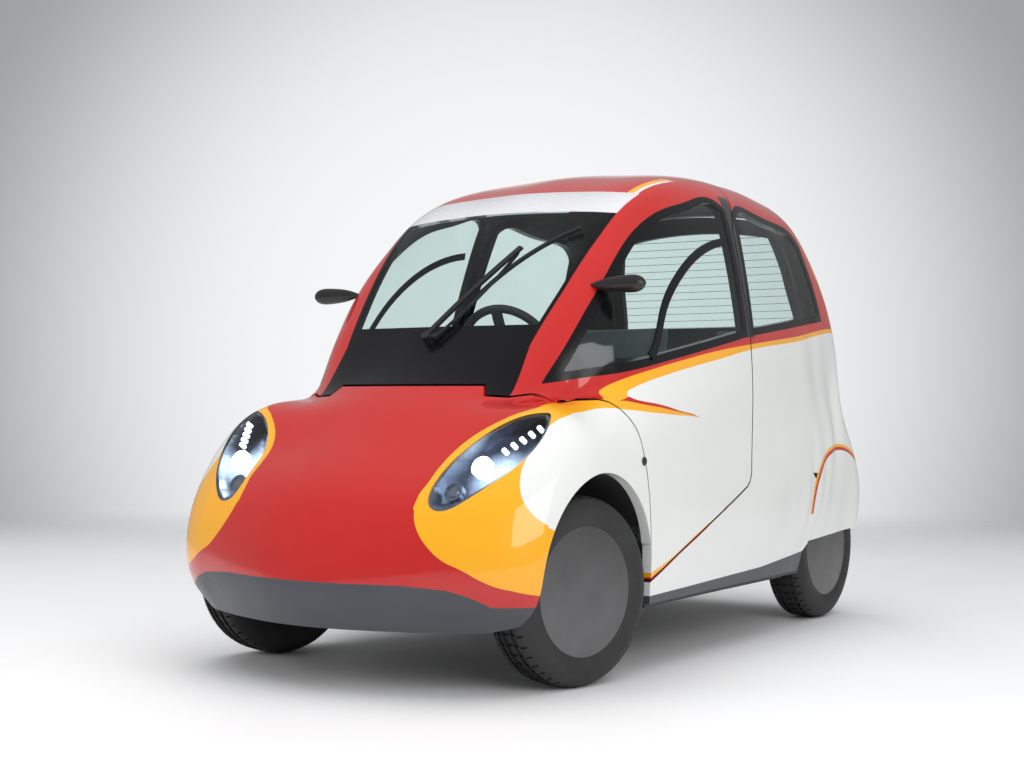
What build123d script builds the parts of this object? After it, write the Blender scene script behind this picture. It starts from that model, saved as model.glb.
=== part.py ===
"""A small three-seat city car: one-piece front clip, forward-tilting canopy, part-covered rear wheels.

Millimetres. +Z is up, the nose points along -Y, and the car's left side is +X. The origin is on the
floor, midway between the bumpers. The front wheels stand turned a little to the right, as parked.
"""

from build123d import *
from math import cos, radians, sin
import os

# Driving dimensions
FRONT_AXLE_Y = -755
REAR_AXLE_Y = 1000
TYRE_RADIUS = 266
TYRE_WIDTH = 145
AXLE_Z = TYRE_RADIUS
RIM_RADIUS = 165
COVER_RADIUS = 186
FRONT_FACE_X = 612
REAR_FACE_X = 592
KINGPIN_X = 500
PARKED_STEER = 12
PANEL_WALL = 30
GLASS_WALL = 5
SHUT_GAP = 6
FRAME_WIDTH = 24
SKIRT_Z = 178
ARCH_Y = -762
ARCH_Z = 317
ARCH_RADIUS = 278
LINER_RADIUS = 292
LINER_WALL = 5
REAR_LINER_RADIUS = 276
WHEELHOUSE_X = 312
REAR_WHEELHOUSE_X = 424
FLOOR_Z = 190
FLOOR_THICKNESS = 25
LINER_Y = -757
LINER_Z = 300
RAIL_X = 300
REAR_RAIL_X = 419
SIDE_BOX_X = 572
TUB_REAR_Y = 700
SHELF_Z = 706
SHELF_FRONT_Y = 880
SHELF_REAR_Y = 1150
BULKHEAD_Y = 886
SCREEN_LEAN = 47
LAMP_DEPTH = 80
LAMP_WALL = 6
PANE_WIDTH = 25
DASH_HALF = 372
PANE_RISE = 5
RAIL_TOP = [(-640, 660), (-455, 600)]
LOWER_ARM_Z = 217
UPPER_ARM_Z = 342
ARM_THICKNESS = 20
PIN_RADIUS = 9
STUB_RADIUS = 15
COLUMN_TILT = 25
WHEEL_HUB_Y = -240
WHEEL_HUB_Z = 930
WHEEL_GRIP = 175
FAR = 900

# Half sections of the body from the sill over the side to the centre line, as (half width, height).
# The nose is cut by planes that fan about the front axle, so its heights there are radii.
NOSE_FAN = {
    -14: [(598, 60), (604, 150), (600, 200), (586, 245), (560, 290), (520, 330),
          (460, 370), (385, 404), (300, 436), (200, 466), (100, 482), (0, 487)],
    0: [(628, 60), (634, 160), (630, 225), (616, 280), (590, 328), (546, 368),
        (474, 408), (390, 440), (300, 474), (200, 504), (100, 525), (0, 533)],
    15: [(640, 60), (647, 165), (645, 238), (632, 295), (606, 345), (560, 388),
         (490, 426), (408, 456), (312, 486), (210, 512), (105, 529), (0, 535)],
    35: [(645, 60), (656, 172), (656, 250), (644, 310), (616, 362), (572, 404),
         (508, 437), (428, 462), (330, 481), (220, 496), (110, 507), (0, 511)],
    55: [(648, 60), (660, 182), (660, 275), (648, 340), (622, 390), (584, 424),
         (530, 446), (458, 460), (360, 466), (240, 475), (120, 485), (0, 489)],
    75: [(648, 60), (660, 190), (660, 312), (648, 384), (620, 440), (578, 478),
         (524, 502), (460, 511), (370, 513), (250, 520), (120, 529), (0, 532)],
}
MIDDLE = {
    -755: [(646, 200), (658, 380), (660, 530), (652, 640), (618, 712), (560, 762),
           (500, 785), (440, 796), (392, 804), (335, 830), (170, 872), (0, 885)],
    -620: [(645, 200), (655, 360), (657, 520), (650, 635), (616, 732), (560, 785),
           (498, 806), (470, 850), (446, 920), (400, 980), (200, 1020), (0, 1032)],
    -500: [(643, 200), (652, 350), (656, 510), (650, 635), (626, 752), (580, 830),
           (538, 920), (496, 1020), (450, 1098), (385, 1140), (190, 1166), (0, 1172)],
    -272: [(640, 200), (650, 340), (656, 490), (648, 630), (632, 790), (592, 905),
           (540, 1090), (478, 1268), (446, 1318), (404, 1362), (200, 1400), (0, 1412)],
    -120: [(637, 200), (648, 330), (656, 480), (646, 635), (634, 800), (600, 925),
           (548, 1140), (480, 1352), (450, 1405), (408, 1450), (200, 1480), (0, 1490)],
    150: [(634, 200), (648, 322), (657, 465), (643, 640), (628, 830), (606, 965),
          (556, 1200), (480, 1436), (450, 1482), (400, 1524), (200, 1558), (0, 1568)],
    450: [(632, 200), (649, 320), (659, 460), (641, 645), (619, 845), (602, 1000),
          (555, 1225), (486, 1455), (450, 1504), (390, 1547), (200, 1582), (0, 1592)],
}
# Half widths of the rear side at four stations, up to the cant rail.
REAR_SIDE = {
    450: [(632, 200), (649, 320), (659, 460), (641, 645), (619, 845), (602, 1000), (555, 1225), (486, 1455)],
    750: [(630, 200), (650, 320), (662, 462), (640, 650), (607, 850), (590, 1030), (542, 1230), (474, 1432)],
    1050: [(622, 200), (648, 320), (660, 472), (634, 665), (568, 865), (572, 1050), (536, 1215), (474, 1385)],
    1400: [(600, 200), (628, 330), (642, 480), (612, 680), (528, 865), (540, 1050), (500, 1170), (440, 1305)],
}
# The tail's centre line, by planes that fan about a lateral line inside the cabin: angle, reach.
TAIL_CENTRE_Y = 500
TAIL_CENTRE_Z = 110
TAIL_FAN = {90: 1482, 96.6: 1491, 103.2: 1507, 108.8: 1519, 114.5: 1463, 120: 1345,
            127.3: 1228, 134.3: 1033, 143.4: 950, 152.6: 888, 162.8: 824, 173.3: 774}
SHOULDER_STEPS = (0.05, 0.17, 0.29, 0.42, 0.54, 0.66, 0.82, 1.0)
TAIL_CORNER = 145
# How far apart a half section's points lie along its curve.
POINT_GAPS = (0.8, 0.9, 1.0, 1.0, 0.8, 1.1, 1.15, 0.6, 0.7, 1.55, 1.55)

# Panel lines in the side view, as (y, z).
DOOR_FRONT = [(-724, 786), (-690, 792), (-640, 797), (-612, 798), (-590, 790), (-577, 775), (-563, 750),
              (-547, 720), (-536, 690), (-522, 624), (-506, 537), (-493, 440), (-485, 340)]
DOOR_BOTTOM = [(-484, 272), (168, 519), (188, 534), (206, 560)]
DOOR_REAR = [(206, 560), (264, 799), (301, 1015), (316, 1201), (342, 1373), (396, 1470), (440, 1529), (452, 1700)]
WAIST_REAR = [(198, 552), (401, 575), (564, 590), (650, 582), (716, 545)]
SILL_TOP = [(-484, 228), (-147, 235), (299, 247), (641, 274), (682, 300)]
PANE_LINE = [(-354, 925), (-312, 960), (-228, 1070), (-109, 1180), (28, 1260), (150, 1304), (262, 1326)]
SPAT_FRONT_Y = 680
SPAT_REAR_Y = 1252
SPAT_INNER_X = 480
SPAT_FOOT = [(SPAT_FRONT_Y, 306), (SPAT_REAR_Y, 335)]
SPAT_CENTRE_Y = 985
SPAT_CENTRE_Z = 340
SPAT_HALF = 307
SPAT_RISE = 300
BUMPER_LINE = [(-1400, 306), (-1232, 306), (-1190, 297), (-1165, 280), (-1130, 253), (-1000, 250)]
# Panel lines in the front view, as (x, z).
COWL_FOOT = [(0, 838), (262, 838), (284, 808), (352, 804), (400, 812), (444, 802), (476, 790), (492, 797), (700, 797)]
SCREEN_SIDE = [(352, 770), (342, 958), (372, 1120), (398, 1300), (408, 1453)]
LAMP_EDGE = [(529, 760), (463, 746), (392, 699), (343, 630), (334, 560), (350, 512), (396, 502),
             (440, 526), (490, 570), (537, 622), (562, 684), (556, 735)]
BAND_LOW = 1378
BAND_TOP = 1453
SCREEN_LOW = 958
CLEAR_LOW = 1018


def between(points, at):
    """Straight-line value between sorted (place, value) pairs."""
    points = sorted(points)
    for (low, low_value), (high, high_value) in zip(points, points[1:]):
        if at <= high:
            return low_value + (high_value - low_value) * (at - low) / (high - low)
    return points[-1][1]


def half_width(y, z):
    """The rear side's half width at a station and a height."""
    return between([(row, between([(h, x) for x, h in side], z)) for row, side in REAR_SIDE.items()], y)


def tail_section(angle, reach):
    """Half section of the tail in one plane of its fan, with a rounded corner to the centre line."""
    turn = radians(angle)
    shoulder = reach - TAIL_CORNER
    points = []
    for step in SHOULDER_STEPS:
        radius = shoulder * step
        y, z = TAIL_CENTRE_Y - radius * cos(turn), TAIL_CENTRE_Z + radius * sin(turn)
        points.append((half_width(y, z), radius))
    width = points[-1][0]
    return points + [(width - 34, reach - 92), (width - 94, reach - 47), (width * 0.42, reach - 10), (0, reach)]


def fan_plane(angle, origin_y, origin_z):
    """A plane across the car about a lateral line: 0 points ahead, 90 up and 180 back."""
    turn = radians(angle)
    return Plane(origin=(0, origin_y, origin_z), x_dir=(1, 0, 0), z_dir=(0, -sin(turn), -cos(turn)))


def moved_in(points, inset):
    """The half section moved inwards along its own normals."""
    moved = []
    for i, (x, h) in enumerate(points[:-1]):
        ahead, behind = points[i + 1], points[max(i - 1, 0)]
        run, rise = ahead[0] - behind[0], ahead[1] - behind[1]
        length = (run**2 + rise**2) ** 0.5
        moved.append((x - inset * rise / length, h + inset * run / length))
    return moved + [(0, points[-1][1] - inset)]


def shared_steps():
    """Where a section's points lie along its curve, from 0 to 1, the same for every section."""
    gaps = list(POINT_GAPS) + list(reversed(POINT_GAPS))
    steps = [0.0]
    for gap in gaps:
        steps.append(steps[-1] + gap / sum(gaps))
    return steps[:-1] + [1.0]


def section(plane, points, inset, base):
    """One closed section across the car, mirrored about the centre line."""
    half = moved_in(points, inset)
    half[0] = (half[0][0], base)
    other = [(-x, h) for x, h in reversed(half[:-1])]
    with BuildSketch(plane) as sketch:
        with BuildLine():
            add(Edge.make_spline([*half, *other], parameters=shared_steps()))
            Line(other[-1], half[0])
        make_face()
    return sketch.sketch


def body_form(inset):
    """The whole body as one lofted solid with its skin moved in. An inset form passes out below."""
    drop = 30 if inset else 0
    past = 2 if inset else 0
    with BuildPart() as form:
        for angle, points in NOSE_FAN.items():
            turned = angle - past if angle == min(NOSE_FAN) else angle
            add(section(fan_plane(turned, FRONT_AXLE_Y, AXLE_Z), points, inset, 60 - drop))
        for y, points in MIDDLE.items():
            add(section(fan_plane(90, y, 0), points, inset, 160 - 2 * drop))
        for angle, reach in TAIL_FAN.items():
            turned = angle + past if angle == max(TAIL_FAN) else angle
            plane = fan_plane(turned, TAIL_CENTRE_Y, TAIL_CENTRE_Z)
            add(section(plane, tail_section(angle, reach), inset, 50 - drop))
        loft()
    return form.part


def outline(points, grow=0.0):
    """A closed flat outline through the points, grown or shrunk evenly."""
    with BuildSketch() as sketch:
        with BuildLine():
            Polyline(*points, close=True)
        make_face()
        if grow:
            offset(amount=grow, kind=Kind.INTERSECTION)
    return sketch.sketch


def side_block(shape, x_low=-FAR, x_high=FAR):
    """A side-view outline made solid across the car."""
    with BuildPart() as block:
        with BuildSketch(Plane.YZ.offset(x_low)):
            add(shape)
        extrude(amount=x_high - x_low)
    return block.part


def front_block(shape, y_low, y_high):
    """A front-view outline made solid along the car."""
    with BuildPart() as block:
        with BuildSketch(Plane.XZ.offset(-y_high)):
            add(shape)
        extrude(amount=y_high - y_low)
    return block.part


def both_sides(half):
    """A front-view line from the centre outwards, continued to the other side."""
    return [(-x, z) for x, z in reversed(half)] + [(x, z) for x, z in half if x > 0]


def lower_line(points, top):
    """A closed outline of what lies above a line."""
    return list(points) + [(points[-1][0], top), (points[0][0], top)]


def canopy_space(grow):
    """Everything that tilts with the canopy: the side outline, and the cowl ahead of it."""
    side = DOOR_FRONT + DOOR_BOTTOM + DOOR_REAR[1:] + [(DOOR_FRONT[0][0], 1700)]
    with BuildPart() as space:
        add(side_block(outline(side, grow)))
        add(front_block(outline(lower_line(both_sides(COWL_FOOT), FAR * 2), grow), -FAR, -640))
    return space.part


def arch_space():
    """The open front wheel arches, through the skin on both sides."""
    with BuildSketch() as shape:
        with Locations((ARCH_Y, ARCH_Z)):
            Circle(ARCH_RADIUS)
        with Locations((ARCH_Y, ARCH_Z / 2)):
            Rectangle(2 * ARCH_RADIUS, ARCH_Z)
    with BuildPart() as space:
        add(side_block(shape.sketch, WHEELHOUSE_X + 20, FAR))
        add(side_block(shape.sketch, -FAR, -WHEELHOUSE_X - 20))
    return space.part


def rear_wheel_space():
    """Room for the rear wheels inside the skin."""
    with BuildPart() as space:
        with BuildSketch(Plane.YZ.offset(REAR_WHEELHOUSE_X)):
            with Locations((REAR_AXLE_Y, AXLE_Z)):
                Circle(REAR_LINER_RADIUS)
        extrude(amount=REAR_FACE_X + 14 - REAR_WHEELHOUSE_X)
        mirror(about=Plane.YZ)
    return space.part


def spat_outline():
    """The rear wheel spat: an elliptical top over a straight foot."""
    rear_z = SPAT_CENTRE_Z + SPAT_RISE * (1 - ((SPAT_REAR_Y - SPAT_CENTRE_Y) / SPAT_HALF) ** 2) ** 0.5
    with BuildSketch() as sketch:
        with Locations((SPAT_CENTRE_Y, SPAT_CENTRE_Z)):
            Ellipse(SPAT_HALF, SPAT_RISE)
        with BuildLine():
            Polyline((SPAT_FRONT_Y, 306), (SPAT_CENTRE_Y, 320), (SPAT_CENTRE_Y, 380),
                     (SPAT_FRONT_Y, 380), close=True)
        make_face()
        with BuildLine():
            Polyline((0, -FAR), (0, 270), SPAT_FOOT[0], SPAT_FOOT[1], (SPAT_REAR_Y, rear_z + FAR),
                     (FAR * 2, rear_z + FAR), (FAR * 2, -FAR), close=True)
        make_face(mode=Mode.SUBTRACT)
    return sketch.sketch


def shrunk(points, amount):
    """The corners of a closed outline moved inwards by one distance from every edge."""
    moved = []
    for i, (y, z) in enumerate(points):
        before, after = points[i - 1], points[(i + 1) % len(points)]
        first, second = (y - before[0], z - before[1]), (after[0] - y, after[1] - z)
        first_length = (first[0] ** 2 + first[1] ** 2) ** 0.5
        second_length = (second[0] ** 2 + second[1] ** 2) ** 0.5
        first = (-first[1] / first_length, first[0] / first_length)
        second = (-second[1] / second_length, second[0] / second_length)
        share = amount / (1 + first[0] * second[0] + first[1] * second[1])
        moved.append((y + (first[0] + second[0]) * share, z + (first[1] + second[1]) * share))
    return moved


def window_outline(top, foot, inset=0.0):
    """A side window, drawn backwards over its curved top and forwards along its foot."""
    corners = shrunk(top + foot, inset)
    with BuildSketch() as sketch:
        with BuildLine():
            Spline(*corners[:len(top)])
            Polyline(corners[len(top) - 1], *corners[len(top):], corners[0])
        make_face()
    return sketch.sketch


def front_window(inset=0.0):
    """The door window with its black border."""
    top = [(330, 1440), (298, 1464), (96, 1447), (-82, 1400), (-228, 1331), (-449, 1146), (-700, 842)]
    return window_outline(top, [(282, 1008)], inset)


def rear_window(inset=0.0):
    """The fixed rear side window with its black border."""
    top = [(972, 1370), (928, 1410), (760, 1442), (560, 1462), (412, 1458), (375, 1430)]
    return window_outline(top, [(309, 1012), (1012, 1092)], inset)


def strip(points, width):
    """A curved band of one width along the points."""
    one, other = [], []
    for i, (y, z) in enumerate(points):
        ahead, behind = points[min(i + 1, len(points) - 1)], points[max(i - 1, 0)]
        run, rise = ahead[0] - behind[0], ahead[1] - behind[1]
        share = width / 2 / (run**2 + rise**2) ** 0.5
        one.append((y - rise * share, z + run * share))
        other.append((y + rise * share, z - run * share))
    with BuildSketch() as sketch:
        with BuildLine():
            Spline(*one)
            Line(one[-1], other[-1])
            Spline(*other)
            Line(other[0], one[0])
        make_face()
    return sketch.sketch


def screen_outline(low, high, narrow=0.0):
    """The windscreen opening in the front view between two heights."""
    side = [(x - narrow, z) for x, z in SCREEN_SIDE if low < z < high]
    foot = between([(z, x) for x, z in SCREEN_SIDE], low) - narrow
    head = between([(z, x) for x, z in SCREEN_SIDE], high) - narrow
    half = [(foot, low)] + side + [(head, high)]
    crown = 22 * (high - SCREEN_LOW) / (BAND_TOP - SCREEN_LOW)
    with BuildSketch() as sketch:
        with BuildLine():
            Polyline(*half)
            Polyline(*[(-x, z) for x, z in half])
            Line((-foot, low), (foot, low))
            ThreePointArc((head, high), (0, high + crown), (-head, high))
        make_face()
    return sketch.sketch


def cowl_outline():
    """The cowl below the windscreen in the front view."""
    gap = SHUT_GAP / 2
    corner_z = COWL_FOOT[3][1] + gap
    corner_x = between([(z, x) for x, z in SCREEN_SIDE], corner_z)
    half = [(x, z + gap) for x, z in COWL_FOOT[:3]] + [(corner_x, corner_z)]
    return outline(both_sides(half) + [(SCREEN_SIDE[1][0], SCREEN_LOW), (-SCREEN_SIDE[1][0], SCREEN_LOW)])


def lamp_outline():
    """The left headlamp in the front view, a leaning drop."""
    with BuildSketch() as sketch:
        with BuildLine():
            Spline(*LAMP_EDGE, periodic=True)
        make_face()
    return sketch.sketch


def tail_lamp_outline():
    """The left tail lamp in the rear view, an upright lozenge."""
    with BuildSketch() as sketch:
        with Locations((482, 735)):
            SlotOverall(230, 78, rotation=82)
    return sketch.sketch


def tailgate_outline(grow=0.0):
    """The tailgate in the rear view."""
    half = [(0, 600), (372, 600), (392, 640), (404, 860), (420, 1060), (392, 1300), (350, 1470)]
    with BuildSketch() as sketch:
        with BuildLine():
            Polyline(*both_sides(half))
            ThreePointArc((350, 1470), (0, 1512), (-350, 1470))
        make_face()
        if grow:
            offset(amount=grow, kind=Kind.INTERSECTION)
    return sketch.sketch


def rear_glass_outline(grow=0.0):
    """The glass of the tailgate in the rear view."""
    with BuildSketch() as sketch:
        with BuildLine():
            Polyline((-376, 1090), (376, 1090), (350, 1290), (320, 1420))
            Polyline((-376, 1090), (-350, 1290), (-320, 1420))
            ThreePointArc((320, 1420), (0, 1452), (-320, 1420))
        make_face()
        if grow:
            offset(amount=grow, kind=Kind.INTERSECTION)
    return sketch.sketch


def write(part, name):
    """Label one finished piece and write its file."""
    part.label = name
    export_step(part, f"parts/{name}.step")


def write_pair(part, name):
    """Write a left piece and its mirror image."""
    write(part, f"{name}_left")
    write(mirror(part, about=Plane.YZ), f"{name}_right")


def biggest(part):
    """The main solid of a cut, without slivers."""
    return Part(part.solids().sort_by(SortBy.VOLUME)[-1].wrapped)


os.makedirs("parts", exist_ok=True)

# The outer form, and the forms that panels, glass and lenses are hollowed with
outer = body_form(0)
inner = body_form(PANEL_WALL)
under_glass = body_form(GLASS_WALL)
over_glass = body_form(-PANE_RISE)
lamp_back = body_form(LAMP_DEPTH)
lamp_floor = body_form(LAMP_DEPTH - LAMP_WALL)
arches = arch_space()
rear_wheels = rear_wheel_space()
canopy_room = canopy_space(SHUT_GAP / 2)


def panel(block, back=inner):
    """A stretch of the skin inside a block, as thick as the given form leaves it."""
    return (outer & block) - back


def left_block(shape):
    """A side-view outline made solid through the left side only."""
    return side_block(shape, 0, FAR)


# Canopy: doors, pillars and front roof in one, open for the windscreen and the side windows
screen_gap = front_block(screen_outline(700, BAND_TOP), -FAR, 60)
canopy_shell = panel(canopy_space(-SHUT_GAP / 2)) - arches - screen_gap - side_block(front_window())
write(biggest(canopy_shell), "canopy_shell")
write(biggest(panel(front_block(cowl_outline(), -FAR, -500))), "cowl")
surround_hole = front_block(screen_outline(CLEAR_LOW, BAND_TOP, 14), -FAR, 60)
surround = panel(front_block(screen_outline(SCREEN_LOW, BAND_LOW), -FAR, 60)) - surround_hole
write(biggest(surround), "windscreen_surround")
clear_screen = front_block(screen_outline(CLEAR_LOW, BAND_LOW, 14), -FAR, 60)
write(biggest(panel(clear_screen, under_glass)), "windscreen")
band_block = front_block(screen_outline(BAND_LOW, BAND_TOP), -FAR, 60)
band_block = band_block - front_block(screen_outline(SCREEN_LOW, BAND_LOW), -FAR, 60)
write(biggest(panel(band_block)), "header_band")
door_opening = left_block(front_window(FRAME_WIDTH))
write_pair(biggest(panel(left_block(front_window())) - door_opening), "door_window_frame")
write_pair(biggest(panel(door_opening, under_glass)), "door_glass")
pane_frame = (over_glass & left_block(strip(PANE_LINE, PANE_WIDTH))) - outer
write_pair(biggest(pane_frame), "pane_frame")

# Nose: bonnet and wings in one, over a bumper, with a lens and a lamp unit in each wing
nose_block = side_block(outline([(-484, 1000), (-1400, 1000)] + BUMPER_LINE + [(-484, 250)]))
lamp_hole = front_block(lamp_outline(), -1250, -800)
front_clip = panel(nose_block) - canopy_room - arches - lamp_hole - mirror(lamp_hole, about=Plane.YZ)
write(biggest(front_clip), "front_clip")
bumper_block = side_block(outline(BUMPER_LINE + [(-1000, SKIRT_Z), (-1400, SKIRT_Z)]))
write(biggest(panel(bumper_block) - arches), "front_bumper")
write_pair(biggest(panel(lamp_hole, under_glass)), "headlamp_lens")
bowl_room = front_block(outline(shrunk(LAMP_EDGE, LAMP_WALL)), -1250, -800) - lamp_floor
write_pair(biggest((under_glass & lamp_hole) - lamp_back - bowl_room), "headlamp_unit")

# Sides: a spat over the rear wheel, a low panel ahead of it and a sill below
spat = side_block(spat_outline(), SPAT_INNER_X, FAR)
write_pair(biggest(panel(spat) - rear_wheels), "rear_spat")
side_line = SILL_TOP + [(SPAT_FRONT_Y, 306), (760, 320), (760, 500)] + WAIST_REAR[::-1]
side_line = side_line + [(100, 552), (-484, 331)]
write_pair(biggest(panel(left_block(outline(side_line))) - spat - canopy_room - arches), "lower_side")
sill_line = SILL_TOP[:-1] + [(625, 211), (603, 208), (-484, 205)]
write_pair(biggest(panel(left_block(outline(sill_line)))), "sill")

# Tail: rear roof, pillars and quarters in one, with lamps, a bumper and the tailgate
tailgate_room = front_block(tailgate_outline(SHUT_GAP / 2), 950, 1500)
tailgate_block = front_block(tailgate_outline(-SHUT_GAP / 2), 950, 1500)
rear_glass = front_block(rear_glass_outline(), 950, 1500)
tail_lamp_hole = front_block(tail_lamp_outline(), 1050, 1500)
rear_line = WAIST_REAR + [(SPAT_CENTRE_Y, 520), (1400, 520), (1400, 1700), (150, 1700), (150, 552)]
rear_body = panel(side_block(outline(rear_line))) - spat - mirror(spat, about=Plane.YZ) - canopy_room
rear_body = rear_body - tailgate_room - side_block(rear_window()) - rear_wheels
rear_body = rear_body - tail_lamp_hole - mirror(tail_lamp_hole, about=Plane.YZ)
write(biggest(rear_body), "rear_body")
write_pair(biggest(panel(tail_lamp_hole)), "tail_lamp")
rear_low = side_block(outline([(1160, 520), (1400, 520), (1400, 206), (1160, 206)]))
rear_low = rear_low - spat - mirror(spat, about=Plane.YZ)
write(biggest(panel(rear_low) - rear_wheels), "rear_bumper")
rear_opening = left_block(rear_window(FRAME_WIDTH))
write_pair(biggest(panel(left_block(rear_window())) - rear_opening), "rear_window_frame")
write_pair(biggest(panel(rear_opening, under_glass)), "rear_side_glass")
write(biggest(panel(tailgate_block) - rear_glass), "tailgate")
write(biggest(panel(rear_glass, under_glass)), "tailgate_glass")

# Floor tub: floor, side boxes under the doors, front rails, wheelhouses, rear members and shelf
BOX_LINE = [(-455, 271), (168, 506), (190, 524), (203, 546), (401, 562), (564, 577), (650, 569), (690, 552)]


def liner(grow):
    """The front wheelhouse in the side view."""
    radius = LINER_RADIUS + grow
    with BuildSketch() as shape:
        with Locations((LINER_Y, LINER_Z)):
            Circle(radius)
        with Locations((LINER_Y, (LINER_Z + FLOOR_Z) / 2)):
            Rectangle(2 * radius, LINER_Z - FLOOR_Z)
        with Locations((LINER_Y, FLOOR_Z - FAR / 2)):
            Rectangle(FAR, FAR, mode=Mode.SUBTRACT)
    return shape.sketch


with BuildPart() as tub:
    with BuildSketch(Plane.XY.offset(FLOOR_Z)):
        half_plan = [(RAIL_X, -1080), (RAIL_X, BOX_LINE[0][0]), (FAR, BOX_LINE[0][0]), (FAR, TUB_REAR_Y),
                     (REAR_RAIL_X, TUB_REAR_Y), (REAR_RAIL_X, 1400)]
        Polygon(*half_plan, *[(-x, y) for x, y in reversed(half_plan)], align=None)
    extrude(amount=FLOOR_THICKNESS)
    for low, high in ((SIDE_BOX_X, FAR), (-FAR, -SIDE_BOX_X)):
        add(side_block(outline(BOX_LINE + [(TUB_REAR_Y, 552), (TUB_REAR_Y, FLOOR_Z), (-455, FLOOR_Z)]), low, high))
    for side in (1, -1):
        low, high = sorted((side * (RAIL_X - 15), side * RAIL_X))
        add(side_block(outline([(-1080, FLOOR_Z), (-455, FLOOR_Z), RAIL_TOP[1], RAIL_TOP[0], (-1080, 660)]), low, high))
        low, high = sorted((side * RAIL_X, side * FAR))
        add(side_block(liner(LINER_WALL), low, high))
        low, high = sorted((side * (REAR_RAIL_X - 15), side * REAR_RAIL_X))
        wall = [(TUB_REAR_Y, FLOOR_Z), (1400, FLOOR_Z), (1400, 560), (SHELF_FRONT_Y, 712), (830, 560), (760, 480),
                (TUB_REAR_Y, 340)]
        add(side_block(outline(wall), low, high))
        with BuildSketch(Plane.YZ.offset(side * REAR_RAIL_X)):
            with Locations((REAR_AXLE_Y, AXLE_Z)):
                Circle(REAR_LINER_RADIUS + LINER_WALL + 3)
            with Locations((REAR_AXLE_Y, AXLE_Z - FAR / 2)):
                Rectangle(FAR, FAR, mode=Mode.SUBTRACT)
        extrude(amount=side * (FAR - REAR_RAIL_X))
    with Locations((0, (SHELF_FRONT_Y + SHELF_REAR_Y) / 2, SHELF_Z)):
        Box(2 * FAR, SHELF_REAR_Y - SHELF_FRONT_Y, 12)
    with Locations((0, BULKHEAD_Y, (FLOOR_Z + SHELF_Z) / 2)):
        Box(2 * REAR_RAIL_X, 12, SHELF_Z - FLOOR_Z)
    with Locations((0, -856, (FLOOR_Z + 900) / 2)):
        Box(2 * RAIL_X, 12, 900 - FLOOR_Z)
    for side in (1, -1):
        low, high = sorted((side * (RAIL_X + LINER_WALL), side * FAR))
        add(side_block(liner(0), low, high), mode=Mode.SUBTRACT)
        with BuildSketch(Plane.YZ.offset(side * (REAR_RAIL_X + LINER_WALL))):
            with Locations((REAR_AXLE_Y, AXLE_Z)):
                Circle(REAR_LINER_RADIUS + 3)
        extrude(amount=side * FAR, mode=Mode.SUBTRACT)
        with Locations((side * RAIL_X, FRONT_AXLE_Y, 296)):
            Box(80, 150, 160, mode=Mode.SUBTRACT)
write(biggest((tub.part & inner) - canopy_room), "floor_tub")

# Front subframe: cross member, two towers, four arms with kingpin bores, steering rack
with BuildPart() as subframe:
    with Locations((0, FRONT_AXLE_Y, FLOOR_Z + FLOOR_THICKNESS + 20)):
        Box(520, 90, 40)
    for side in (1, -1):
        with Locations((side * 245, FRONT_AXLE_Y, 290)):
            Box(30, 60, 144)
        for height in (LOWER_ARM_Z, UPPER_ARM_Z):
            with BuildSketch(Plane.XY.offset(height)):
                with BuildLine():
                    Polyline((side * 230, FRONT_AXLE_Y - 30), (side * 230, FRONT_AXLE_Y + 30),
                             (side * KINGPIN_X, FRONT_AXLE_Y + 20), (side * KINGPIN_X, FRONT_AXLE_Y - 20), close=True)
                make_face()
                with Locations((side * KINGPIN_X, FRONT_AXLE_Y)):
                    Circle(20)
                    Circle(PIN_RADIUS + 0.06, mode=Mode.SUBTRACT)
            extrude(amount=ARM_THICKNESS)
    with Locations((0, FRONT_AXLE_Y + 75, 255)):
        Cylinder(radius=16, height=480, rotation=(0, 90, 0))
    with Locations((-150, FRONT_AXLE_Y + 55, 240), (150, FRONT_AXLE_Y + 55, 240)):
        Box(30, 50, 30)
write(subframe.part, "front_subframe")


def parked(part, side):
    """A steered piece, made for a straight left wheel about its kingpin, set in its place."""
    placed = part if side > 0 else mirror(part, about=Plane.YZ)
    return Pos(side * KINGPIN_X, FRONT_AXLE_Y, 0) * Rot(0, 0, -PARKED_STEER) * placed


with BuildPart() as knuckle:
    post_low, post_high = LOWER_ARM_Z + ARM_THICKNESS + 1, UPPER_ARM_Z - 1
    with Locations((0, 0, (post_low + post_high) / 2)):
        Box(36, 48, post_high - post_low)
    with Locations((0, 0, (LOWER_ARM_Z + UPPER_ARM_Z + ARM_THICKNESS) / 2)):
        Cylinder(radius=PIN_RADIUS, height=UPPER_ARM_Z + ARM_THICKNESS - LOWER_ARM_Z)
    with Locations((FRONT_FACE_X - KINGPIN_X - 38, 0, AXLE_Z)):
        Cylinder(radius=STUB_RADIUS, height=100, rotation=(0, 90, 0), align=(Align.CENTER, Align.CENTER, Align.MAX))
    with Locations((-6, 60, AXLE_Z - 6)):
        Box(18, 100, 18)
write(parked(knuckle.part, 1), "knuckle_left")
write(parked(knuckle.part, -1), "knuckle_right")

# Rear arms, each with its stub axle, joined by a beam below the engine
with BuildPart() as rear_beam:
    for side in (1, -1):
        low, high = sorted((side * 430, side * 444))
        arm = outline([(TUB_REAR_Y, 192), (TUB_REAR_Y, 242), (900, 262), (960, 320), (1035, 320), (1035, 226), (940, 202)])
        add(side_block(arm, low, high))
        with Locations((side * 443, REAR_AXLE_Y, AXLE_Z)):
            Cylinder(radius=STUB_RADIUS, height=110, rotation=(0, 90 * side, 0),
                     align=(Align.CENTER, Align.CENTER, Align.MIN))
    with Locations((0, 820, 170)):
        Box(880, 46, 24)
    for side in (1, -1):
        with Locations((side * 437, 820, 200)):
            Box(14, 46, 60)
write(rear_beam.part, "rear_beam")

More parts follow.
